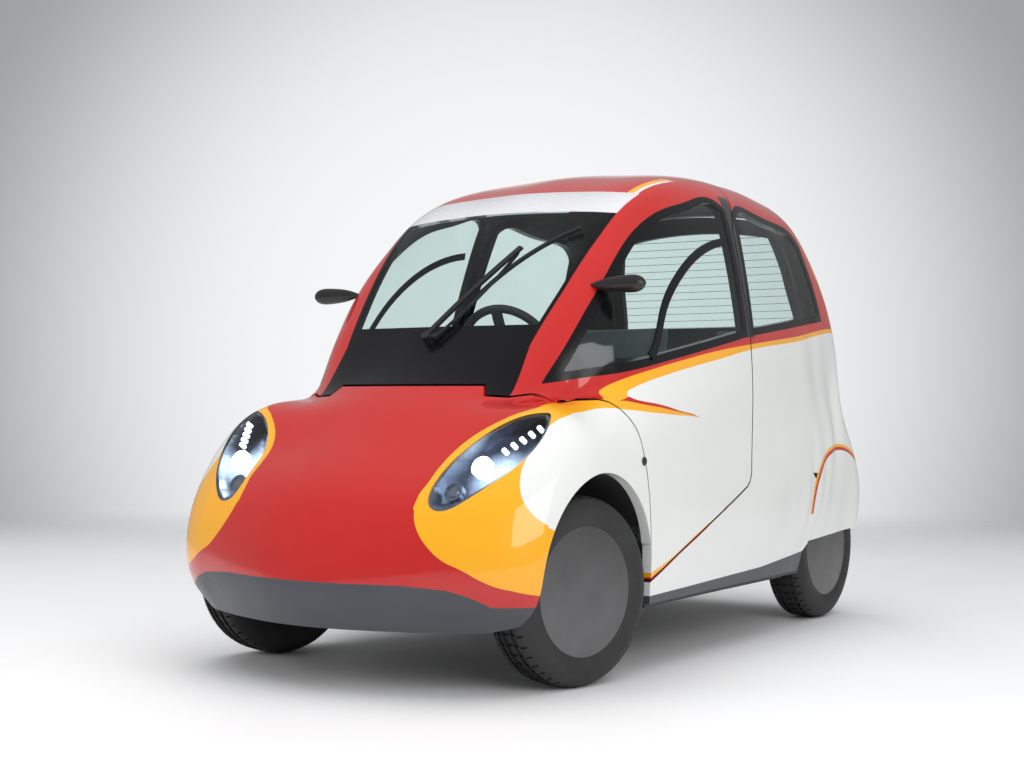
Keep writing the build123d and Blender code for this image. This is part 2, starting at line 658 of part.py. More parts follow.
# Wheels, made about their own centre plane with the outside towards +X
face = TYRE_WIDTH / 2
with BuildPart() as tyre:
    with BuildSketch(Plane.XZ):
        with BuildLine():
            Spline((-58, RIM_RADIUS), (-70, 205), (-70, 232), (-58, 256))
            Line((-58, 256), (-44, TYRE_RADIUS - 3))
            ThreePointArc((-44, TYRE_RADIUS - 3), (0, TYRE_RADIUS), (44, TYRE_RADIUS - 3))
            Line((44, TYRE_RADIUS - 3), (58, 256))
            Spline((58, 256), (face, 232), (70, 205), (58, RIM_RADIUS))
            Line((58, RIM_RADIUS), (-58, RIM_RADIUS))
        make_face()
    revolve(axis=Axis.X)
with BuildPart() as rim:
    with BuildSketch(Plane.XZ):
        Polygon((-58, 150), (-58, RIM_RADIUS), (58, RIM_RADIUS), (58, 150), (34, 147), (34, STUB_RADIUS + 0.05),
                (-6, STUB_RADIUS + 0.05), (-6, 48), (22, 52), (22, 140), (-50, 146), align=None)
    revolve(axis=Axis.X)
    with BuildSketch(Plane.XZ):
        with BuildLine():
            ThreePointArc((face + 2, 0), (face, 110), (66, COVER_RADIUS - 4))
            Line((66, COVER_RADIUS - 4), (62, COVER_RADIUS))
            Line((62, COVER_RADIUS), (59, COVER_RADIUS - 2))
            Line((59, COVER_RADIUS - 2), (52, 150))
            Line((52, 150), (52, 0))
            Line((52, 0), (face + 2, 0))
        make_face()
    revolve(axis=Axis.X)
wheel_cut = rim.part
tyre_fit = tyre.part - wheel_cut
for side, word in ((1, "left"), (-1, "right")):
    out = Pos(FRONT_FACE_X - KINGPIN_X - face, 0, AXLE_Z)
    write(parked(out * tyre_fit, side), f"tyre_front_{word}")
    write(parked(out * wheel_cut, side), f"wheel_front_{word}")
    back = Pos(side * (REAR_FACE_X - face), REAR_AXLE_Y, AXLE_Z) * Rot(0, 0, 0 if side > 0 else 180)
    write(back * tyre_fit, f"tyre_rear_{word}")
    write(back * wheel_cut, f"wheel_rear_{word}")

# Dashboard on two legs, steering column and wheel
with BuildPart() as dash:
    with BuildSketch(Plane.YZ.offset(-DASH_HALF)):
        with BuildLine():
            Polyline((-650, 770), (-650, 880), (-632, 925))
            Spline((-632, 925), (-560, 945), (-420, 925), (-388, 880))
            Polyline((-388, 880), (-392, 800), (-450, 745), (-650, 770))
        make_face()
    extrude(amount=2 * DASH_HALF)
    for side in (1, -1):
        low, high = sorted((side * (RAIL_X - 15), side * RAIL_X))
        add(side_block(outline([RAIL_TOP[0], (-500, between(RAIL_TOP, -500)), (-500, 800), (-640, 800)]), low, high))
write(dash.part, "dashboard")
column_plane = Plane(origin=(0, WHEEL_HUB_Y, WHEEL_HUB_Z), x_dir=(1, 0, 0), z_dir=(0, cos(radians(COLUMN_TILT)), sin(radians(COLUMN_TILT))))
with BuildPart() as column:
    with BuildSketch(column_plane.offset(-30)):
        Circle(34)
    extrude(amount=-180)
    with BuildSketch(column_plane.offset(-30)):
        Circle(12)
    extrude(amount=28)
write(biggest(column.part - dash.part), "steering_column")
with BuildPart() as steering_wheel:
    with BuildSketch(column_plane.offset(-28)):
        Circle(42)
        Circle(12.06, mode=Mode.SUBTRACT)
    extrude(amount=27)
    with BuildSketch(column_plane.offset(-1)):
        Circle(42)
    extrude(amount=12)
    with BuildSketch(Plane(origin=column_plane.origin, x_dir=(1, 0, 0), z_dir=column_plane.x_dir.cross(column_plane.z_dir))):
        with Locations((WHEEL_GRIP, 0)):
            Circle(14)
    revolve(axis=Axis(column_plane.origin, column_plane.z_dir))
    for angle in (0, 180, 270):
        with BuildSketch(column_plane.offset(-16)):
            with Locations(Location((0, 0, 0), (0, 0, angle))):
                with Locations((105, 0)):
                    Rectangle(140, 34)
        extrude(amount=12)
write(steering_wheel.part, "steering_wheel")

# Seats as plain closed solids, and the engine as one block
SEAT_PROFILE = [(-250, 0), (-260, 130), (-215, 165), (150, 120), (215, 190), (330, 700), (345, 850),
                (420, 850), (425, 700), (300, 180), (240, 0)]


def seat(width, x, y, low):
    """One seat: cushion, back and headrest in one."""
    with BuildPart() as part:
        with BuildSketch(Plane.YZ.offset(x - width / 2)):
            Polygon(*[(y + along, low + up) for along, up in SEAT_PROFILE], align=None)
        extrude(amount=width)
    return part.part


floor_top = FLOOR_Z + FLOOR_THICKNESS
write(seat(460, 0, 20, floor_top), "seat_driver")
write(seat(300, 390, 405, floor_top), "seat_passenger_left")
write(seat(300, -390, 405, floor_top), "seat_passenger_right")
with BuildPart() as engine:
    with Locations((0, 1050, floor_top + 165)):
        Box(520, 260, 330)
write(engine.part, "engine")

# Mirrors and the wiper
with BuildPart() as mirror_pod:
    with BuildSketch(Plane.XZ.offset(472)):
        with BuildLine():
            Spline((430, 1138), (470, 1152), (560, 1164), (612, 1156), (626, 1138))
            Line((626, 1138), (430, 1138))
        make_face()
    revolve(axis=Axis((0, -472, 1138), (1, 0, 0)))
write_pair(biggest(mirror_pod.part - outer), "mirror")


def over_screen(x, y, z, lift):
    """A point lifted squarely off the windscreen, which leans back."""
    return (x, y - lift * sin(radians(SCREEN_LEAN)), z + lift * cos(radians(SCREEN_LEAN)))


def bar(points, width, depth):
    """A straight-sided bar of one section along a smooth line of points."""
    with BuildPart() as part:
        with BuildLine():
            path = Spline(*points) if len(points) > 2 else Line(*points)
        along = path % 0
        with BuildSketch(Plane(origin=path @ 0, x_dir=along.cross(Vector(*over_screen(0, 0, 0, 1))), z_dir=along)):
            Rectangle(width, depth)
        sweep()
    return part.part


with BuildPart() as wiper:
    foot = over_screen(-8, -672, 972, -12)
    with BuildSketch(Plane(origin=foot, x_dir=(1, 0, 0), z_dir=over_screen(0, 0, 0, 1))):
        Circle(16)
    extrude(amount=42)
    add(bar([over_screen(-8, -672, 972, 24), over_screen(80, -550, 1113, 26), over_screen(172, -425, 1254, 20)], 18, 9))
    add(bar([over_screen(26, -668, 972, 22), over_screen(110, -550, 1100, 24), over_screen(168, -436, 1236, 20)], 9, 6))
    add(bar([over_screen(-12, -680, 968, 22), over_screen(30, -666, 974, 22)], 16, 8))
    add(bar([over_screen(55, -617, 1032, 9), over_screen(146, -492, 1176, 12), over_screen(240, -410, 1262, 12),
             over_screen(341, -352, 1317, 12)], 10, 11))
write(biggest(wiper.part - outer), "wiper")
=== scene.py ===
from math import cos, pi, radians, sin

import bmesh
import bpy
from mathutils import Matrix, Vector


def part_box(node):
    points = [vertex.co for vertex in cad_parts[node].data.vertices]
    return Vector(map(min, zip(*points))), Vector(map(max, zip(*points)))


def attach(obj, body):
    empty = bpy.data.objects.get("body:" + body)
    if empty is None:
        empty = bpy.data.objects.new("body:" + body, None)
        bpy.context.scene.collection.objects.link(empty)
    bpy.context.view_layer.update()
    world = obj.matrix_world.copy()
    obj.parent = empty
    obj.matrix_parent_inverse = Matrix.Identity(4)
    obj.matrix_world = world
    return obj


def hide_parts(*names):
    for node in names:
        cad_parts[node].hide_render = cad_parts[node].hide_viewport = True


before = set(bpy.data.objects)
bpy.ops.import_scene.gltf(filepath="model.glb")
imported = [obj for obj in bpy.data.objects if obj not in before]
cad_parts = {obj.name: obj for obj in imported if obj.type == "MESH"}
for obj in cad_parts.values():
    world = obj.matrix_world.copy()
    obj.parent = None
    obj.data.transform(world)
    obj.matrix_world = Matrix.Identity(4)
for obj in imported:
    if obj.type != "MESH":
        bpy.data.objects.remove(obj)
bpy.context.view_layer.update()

bl_info = {
    "name": "Concept city car looks",
    "version": (1, 0, 0),
    "blender": (4, 5, 0),
    "location": "View3D > Sidebar > City Car",
    "description": "Builds the materials, tyres, seats, belts, lights and camera of a small city car",
    "category": "Object",
}

# Paint colours, linear
RED = (0.52, 0.009, 0.006)
YELLOW = (0.93, 0.42, 0.006)
WHITE = (0.80, 0.81, 0.79)
PILLAR_BLACK = (0.012, 0.012, 0.014)
WINDOW_TINT = (0.90, 0.95, 0.94)

# Livery lines. Nose: x against z + 0.5 y. Sides: z against y. All in metres, the same on both sides.
NOSE_YELLOW = [(-0.085, 0.310), (-0.043, 0.310), (0.011, 0.317), (0.078, 0.319), (0.147, 0.330), (0.200, 0.353),
               (0.241, 0.382), (0.276, 0.414), (0.307, 0.446), (0.333, 0.480), (0.355, 0.496), (0.395, 0.495),
               (0.452, 0.485), (0.478, 0.502), (0.50, 0.56), (0.53, 0.70)]
NOSE_FOOT = [(0.31, 0.505), (0.323, 0.477), (0.342, 0.444), (0.372, 0.409), (0.41, 0.377), (0.47, 0.348),
             (0.51, 0.325), (0.548, 0.307), (0.578, 0.298), (0.605, 0.288), (0.66, 0.27)]
NOSE_WHITE = [(-0.049, 0.636), (-0.041, 0.619), (-0.024, 0.599), (0.003, 0.579), (0.031, 0.567), (0.078, 0.554),
              (0.128, 0.549), (0.186, 0.551), (0.225, 0.556), (0.260, 0.560), (0.297, 0.565), (0.335, 0.570),
              (0.385, 0.562), (0.430, 0.563), (0.459, 0.575), (0.476, 0.589), (0.491, 0.605), (0.522, 0.624)]
SIDE_RED = [(-0.75, 0.789), (-0.683, 0.793), (-0.638, 0.797), (-0.59, 0.798), (-0.588, 0.812), (-0.582, 0.820),
            (-0.565, 0.831), (-0.54, 0.843), (-0.483, 0.862), (-0.372, 0.886), (-0.19, 0.918), (0.065, 0.957),
            (0.301, 0.984), (0.68, 1.021), (1.2, 1.07)]
SIDE_YELLOW = [(-0.75, 0.770), (-0.53, 0.800), (-0.515, 0.806), (-0.509, 0.818), (-0.500, 0.824), (-0.486, 0.829),
               (-0.427, 0.846), (-0.332, 0.866), (-0.154, 0.897), (0.055, 0.929), (0.295, 0.966), (0.673, 1.003),
               (1.2, 1.055)]
SPEAR_WHITE = [(-0.75, 0.770), (-0.53, 0.800), (-0.511, 0.806), (-0.501, 0.801), (-0.462, 0.7926),
               (-0.411, 0.7869), (-0.353, 0.7781), (-0.265, 0.763), (-0.199, 0.7549), (-0.133, 0.743)]
SPEAR_RED = [(-0.75, 0.770), (-0.54, 0.794), (-0.531, 0.7933), (-0.498, 0.7879), (-0.452, 0.7813),
             (-0.397, 0.7757), (-0.335, 0.7677), (-0.266, 0.7597), (-0.194, 0.7512), (-0.133, 0.743)]
SPEAR_YELLOW = [(-0.75, 0.770), (-0.627, 0.772), (-0.564, 0.7691), (-0.515, 0.7659), (-0.446, 0.7602),
                (-0.362, 0.7553), (-0.269, 0.7504), (-0.2, 0.7476), (-0.133, 0.743)]
SPEAR_END = -0.133
DOOR_TOP = [(-0.6, 0.258), (-0.488, 0.293), (-0.377, 0.322), (-0.171, 0.397), (-0.036, 0.445), (0.085, 0.489)]
DOOR_LOW = [(-0.6, 0.232), (-0.485, 0.267), (-0.424, 0.288), (-0.3, 0.337), (-0.17, 0.385), (-0.035, 0.441),
            (0.085, 0.489)]
PILLAR_EDGE = [(0.75, 1.60), (0.98, 1.415), (1.03, 1.33), (1.08, 1.20), (1.115, 1.09), (1.14, 1.0)]

# Ends of the livery's lines: the white wing's lower end on z + 0.5 y, and the door line's rear end on y
NOSE_WHITE_FOOT = -0.052
DOOR_LINE_END = 0.085
# The side window pillar: its lean, its foot at height 0, half its width, and its two heights
PILLAR_LEAN = 0.137
PILLAR_FOOT = 0.157
PILLAR_HALF = 0.034
PILLAR_LOW = 1.006
PILLAR_HIGH = 1.49
# The roof's stripes beside the screen: x of the yellow one's sides and of the white one's outer side
ROOF_STRIPES = (0.374, 0.393, 0.403)
ROOF_STRIPE_Z = 1.44
ROOF_STRIPE_END = 0.12
# The tail's red field: its lower edge and half its width
REAR_RED_LOW = 1.06
REAR_RED_HALF = 0.455
# The spat's ellipse: middle y and z, half length and half height, and where its two lines start
SPAT_MIDDLE = (0.985, 0.340)
SPAT_HALVES = (0.307, 0.300)
SPAT_LINES = (0.925, 0.965)
SPAT_LINE_LOW = 0.40
SPAT_SOFT = 0.003
# Middle of the car, away from which the outer faces of its panels look
INSIDE = (0.0, 0.1, 0.7)
# Where the painted glow on the headlamp's bowl is brightest, and how far it reaches: the main lamp's light on the
# bowl, painted as emission
PAINTED_GLOW_MIDDLE = (0.452, -1.010, 0.628)
PAINTED_GLOW_REACH = 0.115

# Degrees by which the front wheels are turned to the left as parked
PARKED_STEER = 12.0
SIDES = ((1, "left"), (-1, "right"))
CAMERA_PLACE = (2.857, -4.603, 0.787)
CAMERA_PITCH = -0.67
CAMERA_ROLL = 0.18

# One side of the tyre's section as x and radius, from the rim to the middle of the tread
TYRE_SIDE = [(-0.058, 0.166), (-0.066, 0.182), (-0.0705, 0.205), (-0.0722, 0.221), (-0.0700, 0.234),
             (-0.0640, 0.248), (-0.0575, 0.2565), (-0.0470, 0.2622), (-0.0380, 0.2640), (-0.0340, 0.2645),
             (-0.0180, 0.2655), (-0.0140, 0.2657)]
TYRE_SLICES = 6
# Places along half the section that are sunk: all round, in a pitch's first slice, and in its middle
GROOVE_BANDS = (9, 11)
GROOVE_SHOULDERS = (6, 7)
GROOVE_BLOCKS = (8,)
BLOCK_SLICE = 3

# The bright edge of a wheel's disc
DISC_EDGE_X = 0.0605
DISC_EDGE_RADIUS = 0.1840
DISC_EDGE_THICKNESS = 0.0028

# The belts: share of the driver's belt x, y and z along it; x, y and z of the passengers' belts
BELT_THICKNESS = 0.003
DRIVER_BELT_X = 0.105
DRIVER_BELT = [(1.0, 0.375, 0.86), (1.0, 0.325, 0.93), (0.98, 0.315, 0.89), (0.9, 0.26, 0.72),
               (0.8, 0.19, 0.50), (0.7, 0.14, 0.405)]
PASSENGER_BELT = [(0.53, 0.70, 1.02), (0.50, 0.695, 0.90), (0.44, 0.655, 0.78), (0.36, 0.60, 0.58),
                  (0.29, 0.56, 0.44)]
BELT_GUIDE_SIZE = (0.07, 0.045, 0.022)

# Lamps on the left side; those on the right are mirrored
MAIN_LIGHT = (0.435, -1.035, 0.612)
MAIN_RADIUS = 0.030
LOW_LIGHT = (0.386, -1.095, 0.545)
LOW_RADIUS = 0.028
FIRST_SPOT = (0.475, -0.985, 0.655)
LAST_SPOT = (0.530, -0.895, 0.715)
SPOT_RADIUS = 0.007
SPOTS = 5
REPEATER = (0.6535, -0.530, 0.620)

# Each light: its name, place, target, width and height, share of the key light, and whether surfaces mirror it
LIGHTS = [
    ("overhead", (0.3, -0.6, 4.6), (0, -0.1, 0.5), (7.0, 5.0), 1.3, False),
    ("left_softbox", (4.5, -2.5, 2.6), (0, 0, 0.7), (3.6, 2.6), 0.75, True),
    ("front_softbox", (-2.6, -4.8, 2.4), (0, -0.6, 0.6), (3.4, 2.4), 0.5, False),
    ("rear_softbox", (-3.4, 3.0, 4.2), (0, 0.4, 0.9), (3.0, 2.0), 0.35, False),
]


class CityCarLiverySettings(bpy.types.PropertyGroup):
    """Paint of the outer panels."""

    edge: bpy.props.FloatProperty(
        name="Edge width", description="Softness of the edge between two colours, metres", default=0.0006)
    peel: bpy.props.FloatProperty(
        name="Orange peel", description="Strength of the fine waves in the clear coat", default=0.004)
    coat: bpy.props.FloatProperty(
        name="Coat", description="Weight of the clear coat over the colours", default=1.0)


class CityCarTyreSettings(bpy.types.PropertyGroup):
    """Tyres and wheel discs."""

    pitches: bpy.props.IntProperty(
        name="Tread pitches", description="How many times the tread pattern repeats round a tyre", default=48)
    groove: bpy.props.FloatProperty(
        name="Groove depth", description="Depth of the tread grooves, metres", default=0.006)
    radius: bpy.props.FloatProperty(
        name="Tyre radius", description="Outer radius of a tyre, metres", default=0.266)


class CityCarCabinSettings(bpy.types.PropertyGroup):
    """Seats, belts and cabin trim."""

    swell: bpy.props.FloatProperty(
        name="Cushion swell", description="How far the seat padding swells, metres", default=0.016)
    frames: bpy.props.IntProperty(
        name="Cloth frames", description="Length of the cloth simulation of each seat", default=20)
    webbing: bpy.props.FloatProperty(
        name="Webbing width", description="Width of a seat belt, metres", default=0.047)


class CityCarStudioSettings(bpy.types.PropertyGroup):
    """Floor, lights and camera."""

    lens: bpy.props.FloatProperty(
        name="Lens", description="Focal length of the camera on a 36 mm sensor, millimetres", default=56.45)
    azimuth: bpy.props.FloatProperty(
        name="Azimuth", description="Direction of the camera round the car, degrees from the nose",
        default=33.14)
    key: bpy.props.FloatProperty(
        name="Key light", description="Power that the studio lights share out, watts", default=140.0)


def deselect():
    """Leaves nothing selected and no object active in edit mode."""
    if bpy.context.object and bpy.context.object.mode != "OBJECT":
        bpy.ops.object.mode_set(mode="OBJECT")
    bpy.ops.object.select_all(action="DESELECT")


def activate(piece):
    """Makes one piece the only selected and active one."""
    deselect()
    piece.select_set(True)
    bpy.context.view_layer.objects.active = piece


def place_in_mesh(piece, name, material, body):
    """Names a new piece, moves its place into its mesh, gives it a material and lets it ride on a body."""
    activate(piece)
    bpy.ops.object.transform_apply(location=True, rotation=True, scale=True)
    piece.name = name
    piece.data.name = name
    piece.data.materials.clear()
    piece.data.materials.append(material)
    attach(piece, body)
    return piece


def clean_mesh(piece, distance=0.0001):
    """Joins doubled points and turns the faces outwards."""
    activate(piece)
    bpy.ops.object.mode_set(mode="EDIT")
    bpy.ops.mesh.select_all(action="SELECT")
    bpy.ops.mesh.remove_doubles(threshold=distance)
    bpy.ops.mesh.normals_make_consistent(inside=False)
    bpy.ops.object.mode_set(mode="OBJECT")


def smooth(piece, angle=35.0):
    """Smooth shading with sharp edges kept."""
    activate(piece)
    bpy.ops.object.shade_smooth_by_angle(angle=radians(angle))


class Nodes:
    """Short calls that add shader nodes to one material."""

    def __init__(self, name):
        self.material = bpy.data.materials.new(name)
        self.material.use_nodes = True
        self.tree = self.material.node_tree
        self.tree.nodes.clear()
        self.output = self.tree.nodes.new("ShaderNodeOutputMaterial")
        self.coords = self.tree.nodes.new("ShaderNodeTexCoord").outputs["Object"]

    def add(self, kind, **inputs):
        """A node with the given values or links on its sockets; digits select sockets by place."""
        node = self.tree.nodes.new(kind)
        for key, value in inputs.items():
            socket = node.inputs[int(key[1:])] if key[0] == "i" and key[1:].isdigit() else node.inputs[key]
            if isinstance(value, bpy.types.NodeSocket):
                self.tree.links.new(value, socket)
            else:
                socket.default_value = value
        return node

    def math(self, operation, first, second=0.0, third=0.0, clamp=False):
        """The result of one math node."""
        node = self.add("ShaderNodeMath", i0=first, i1=second, i2=third)
        node.operation = operation
        node.use_clamp = clamp
        return node.outputs[0]

    def mix(self, share, first, second):
        """A colour between two others."""
        node = self.tree.nodes.new("ShaderNodeMix")
        node.data_type = "RGBA"
        for place, value in ((0, share), (6, first), (7, second)):
            socket = node.inputs[place]
            if isinstance(value, bpy.types.NodeSocket):
                self.tree.links.new(value, socket)
            else:
                socket.default_value = value
        return node.outputs[2]

    def parts(self):
        """X without its sign, Y and Z in metres."""
        split = self.add("ShaderNodeSeparateXYZ", i0=self.coords)
        return self.math("ABSOLUTE", split.outputs[0]), split.outputs[1], split.outputs[2]

    def curve(self, value, points, low, high, floor, top):
        """A curve through points, read at a value; both of its ranges are brought to 0..1 for the node."""
        node = self.add("ShaderNodeFloatCurve")
        share = self.math("DIVIDE", self.math("SUBTRACT", value, low), high - low, clamp=True)
        self.tree.links.new(share, node.inputs["Value"])
        line = node.mapping.curves[0]
        placed = [((a - low) / (high - low), (b - floor) / (top - floor)) for a, b in points]
        if placed[0][0] > 0:
            placed = [(0.0, placed[0][1])] + placed
        if placed[-1][0] < 1:
            placed = placed + [(1.0, placed[-1][1])]
        while len(line.points) < len(placed):
            line.points.new(0.5, 0.5)
        for point, (a, b) in zip(line.points, sorted(placed)):
            point.location = (a, b)
            point.handle_type = "AUTO_CLAMPED"
        node.mapping.use_clip = False
        node.mapping.update()
        return self.math("MULTIPLY_ADD", node.outputs[0], top - floor, floor)

    def above(self, value, limit, edge):
        """1 where the value is over the limit, 0 where it is under, with a soft edge."""
        return self.math("MULTIPLY_ADD", self.math("SUBTRACT", value, limit), 1.0 / edge, 0.5, clamp=True)

    def under(self, value, limit, edge):
        """1 where the value is under the limit, 0 where it is over."""
        return self.math("SUBTRACT", 1.0, self.above(value, limit, edge))

    def vector(self, operation, first, second):
        """The node of one vector operation."""
        node = self.add("ShaderNodeVectorMath", i0=first, i1=second)
        node.operation = operation
        return node

    def both(self, first, second):
        """The product of two shares."""
        return self.math("MULTIPLY", first, second)

    def outside(self):
        """1 on the faces of a panel that look away from the middle of the car, 0 on its inner faces."""
        normal = self.add("ShaderNodeTexCoord").outputs["Normal"]
        away = self.vector("SUBTRACT", self.coords, INSIDE)
        turned = self.vector("DOT_PRODUCT", away.outputs[0], normal)
        return self.above(turned.outputs["Value"], -0.06, 0.04)

    def principled(self, **values):
        """The output of a Principled shader; an underscore in a name stands for a space."""
        named = {key.replace("_", " "): value for key, value in values.items()}
        return self.add("ShaderNodeBsdfPrincipled", **named).outputs[0]

    def noise(self, scale, detail=2.0):
        """The grey value of a noise texture."""
        return self.add("ShaderNodeTexNoise", Vector=self.coords, Scale=scale, Detail=detail).outputs[0]

    def waves(self, scale, bands, distortion=0.0):
        """The grey value of a wave texture across one axis."""
        node = self.add("ShaderNodeTexWave", Vector=self.coords, Scale=scale, Distortion=distortion)
        node.bands_direction = bands
        return node.outputs[1]

    def bump(self, height, strength, distance):
        """A normal that follows a height."""
        return self.add("ShaderNodeBump", Strength=strength, Distance=distance, Height=height).outputs[0]

    def finish(self, shader):
        """Links the last shader and gives the material."""
        self.tree.links.new(shader, self.output.inputs["Surface"])
        return self.material


def rgba(colour, share=1.0):
    """A colour with full opacity, made lighter or darker."""
    return tuple(c * share for c in colour) + (1.0,)


def painted(nodes, colour, settings):
    """Body paint under a clear coat, with fine waves and small colour differences, and a dark lining inside."""
    tone = nodes.add("ShaderNodeHueSaturation", Color=colour)
    value = nodes.math("MULTIPLY_ADD", nodes.noise(2.5, 3.0), 0.05, 0.975)
    nodes.tree.links.new(value, tone.inputs["Value"])
    outside = nodes.outside()
    lining = nodes.mix(nodes.noise(160.0, 3.0), rgba((0.022, 0.023, 0.025)), rgba((0.040, 0.041, 0.044)))
    return nodes.finish(nodes.principled(
        Base_Color=nodes.mix(outside, lining, tone.outputs[0]),
        Roughness=nodes.math("MULTIPLY_ADD", nodes.noise(60.0), 0.06, 0.36),
        Normal=nodes.bump(nodes.noise(900.0, 1.0), settings.peel, 0.0005),
        Coat_Weight=nodes.both(outside, settings.coat), Coat_Roughness=0.03, Specular_IOR_Level=0.25))


def nose_paint(settings):
    """Red bonnet, yellow round the lamps and white wings."""
    nodes = Nodes("nose_livery")
    edge = settings.edge
    x, y, z = nodes.parts()
    along = nodes.math("MULTIPLY_ADD", y, 0.5, z)
    inner = nodes.curve(along, NOSE_YELLOW, -0.3, 0.6, 0.0, 1.0)
    foot = nodes.curve(x, NOSE_FOOT, 0.25, 0.70, 0.0, 1.0)
    outer = nodes.curve(along, NOSE_WHITE, -0.06, 0.6, 0.0, 1.0)
    yellow = nodes.both(nodes.above(x, inner, edge), nodes.above(z, foot, edge))
    white = nodes.both(nodes.above(x, outer, edge), nodes.above(along, NOSE_WHITE_FOOT, edge))
    colour = nodes.mix(yellow, rgba(RED), rgba(YELLOW))
    return painted(nodes, nodes.mix(white, colour, rgba(WHITE)), settings)


def side_line(nodes, y, points):
    """The height of one livery line at every y."""
    return nodes.curve(y, points, -0.75, 1.25, 0.0, 1.6)


def pillar_black(nodes, y, z, colour, edge):
    """The dark pillar between the side windows laid over a colour."""
    middle = nodes.math("MULTIPLY_ADD", z, PILLAR_LEAN, PILLAR_FOOT)
    apart = nodes.math("ABSOLUTE", nodes.math("SUBTRACT", y, middle))
    tall = nodes.math("SUBTRACT", nodes.above(z, PILLAR_LOW, edge), nodes.above(z, PILLAR_HIGH, edge))
    share = nodes.both(nodes.under(apart, PILLAR_HALF, edge), tall)
    return nodes.mix(share, colour, rgba(PILLAR_BLACK))


def side_paint(settings):
    """White sides under a red roof, with the yellow and red lines between them."""
    nodes = Nodes("side_livery")
    edge = settings.edge
    x, y, z = nodes.parts()
    in_spear = nodes.under(y, SPEAR_END, edge)
    colour = rgba(WHITE)
    for points, paint in ((SPEAR_YELLOW, YELLOW), (SPEAR_RED, RED), (SPEAR_WHITE, WHITE)):
        over = nodes.above(z, side_line(nodes, y, points), edge)
        colour = nodes.mix(nodes.both(over, in_spear), colour, rgba(paint))
    for points, paint in ((SIDE_YELLOW, YELLOW), (SIDE_RED, RED)):
        colour = nodes.mix(nodes.above(z, side_line(nodes, y, points), edge), colour, rgba(paint))
    top = side_line(nodes, y, DOOR_TOP)
    low = side_line(nodes, y, DOOR_LOW)
    middle = nodes.both(nodes.math("ADD", top, low), 0.5)
    before = nodes.under(y, DOOR_LINE_END, edge)
    for foot, paint in ((low, RED), (middle, YELLOW)):
        stripe = nodes.math("SUBTRACT", nodes.above(z, foot, edge), nodes.above(z, top, edge))
        colour = nodes.mix(nodes.both(stripe, before), colour, rgba(paint))
    roof = nodes.both(nodes.above(z, ROOF_STRIPE_Z, edge), nodes.under(y, ROOF_STRIPE_END, 0.05))
    for start, end, paint in zip(ROOF_STRIPES, ROOF_STRIPES[1:], (YELLOW, WHITE)):
        stripe = nodes.math("SUBTRACT", nodes.above(x, start, edge), nodes.above(x, end, edge))
        colour = nodes.mix(nodes.both(stripe, roof), colour, rgba(paint))
    return painted(nodes, pillar_black(nodes, y, z, colour, edge), settings)


def rear_paint(settings):
    """White tail under a red roof and red pillars, edged in yellow."""
    nodes = Nodes("rear_livery")
    edge = settings.edge
    x, y, z = nodes.parts()
    colour = rgba(WHITE)
    for points, paint in ((SIDE_YELLOW, YELLOW), (SIDE_RED, RED)):
        colour = nodes.mix(nodes.above(z, side_line(nodes, y, points), edge), colour, rgba(paint))
    high = nodes.above(z, REAR_RED_LOW, edge)
    pillar = nodes.both(nodes.above(z, side_line(nodes, y, PILLAR_EDGE), edge), high)
    colour = nodes.mix(pillar, colour, rgba(YELLOW))
    colour = nodes.mix(nodes.both(nodes.under(x, REAR_RED_HALF, edge), high), colour, rgba(RED))
    return painted(nodes, pillar_black(nodes, y, z, colour, edge), settings)


def spat_paint(settings):
    """White spat edged by a yellow and a red arch."""
    nodes = Nodes("spat_livery")
    _, y, z = nodes.parts()
    squares = []
    for value, middle, half in zip((y, z), SPAT_MIDDLE, SPAT_HALVES):
        share = nodes.math("DIVIDE", nodes.math("SUBTRACT", value, middle), half)
        squares.append(nodes.both(share, share))
    reach = nodes.math("SQRT", nodes.math("ADD", *squares))
    over_foot = nodes.above(z, SPAT_LINE_LOW, settings.edge)
    colour = rgba(WHITE)
    for start, paint in zip(SPAT_LINES, (RED, YELLOW)):
        colour = nodes.mix(nodes.both(nodes.above(reach, start, SPAT_SOFT), over_foot), colour, rgba(paint))
    return painted(nodes, colour, settings)


def plastic(name, colour, roughness, grain=900.0, depth=0.25, specular=0.5):
    """Moulded plastic with a fine grain and uneven gloss."""
    nodes = Nodes(name)
    return nodes.finish(nodes.principled(
        Base_Color=nodes.mix(nodes.noise(7.0, 4.0), rgba(colour, 0.88), rgba(colour, 1.12)),
        Roughness=nodes.math("MULTIPLY_ADD", nodes.noise(45.0, 3.0), 0.14, roughness - 0.07),
        Specular_IOR_Level=specular, Normal=nodes.bump(nodes.noise(grain, 2.0), depth, 0.0004)))


def metal(name, colour, roughness, grain=220.0, metallic=1.0):
    """Cast or brushed metal with dull patches."""
    nodes = Nodes(name)
    return nodes.finish(nodes.principled(
        Base_Color=nodes.mix(nodes.noise(12.0, 5.0), rgba(colour, 0.78), rgba(colour, 1.1)),
        Roughness=nodes.math("MULTIPLY_ADD", nodes.noise(70.0, 4.0), 0.2, roughness - 0.1),
        Metallic=metallic, Normal=nodes.bump(nodes.noise(grain, 3.0), 0.25, 0.0006)))


def pane(nodes, tint):
    """Clear glass that reflects more at flat angles."""
    clear = nodes.add("ShaderNodeBsdfTransparent", Color=rgba(tint))
    shine = nodes.add("ShaderNodeBsdfGlossy", Roughness=0.01, Color=(1, 1, 1, 1))
    facing = nodes.add("ShaderNodeLayerWeight", Blend=0.5).outputs["Facing"]
    share = nodes.math("MULTIPLY_ADD", nodes.math("POWER", facing, 5.0), 0.55, 0.025)
    return nodes.add("ShaderNodeMixShader", i0=share, i1=clear.outputs[0], i2=shine.outputs[0]).outputs[0]


def glass(name, tint):
    """Thin clear glass."""
    nodes = Nodes(name)
    return nodes.finish(pane(nodes, tint))


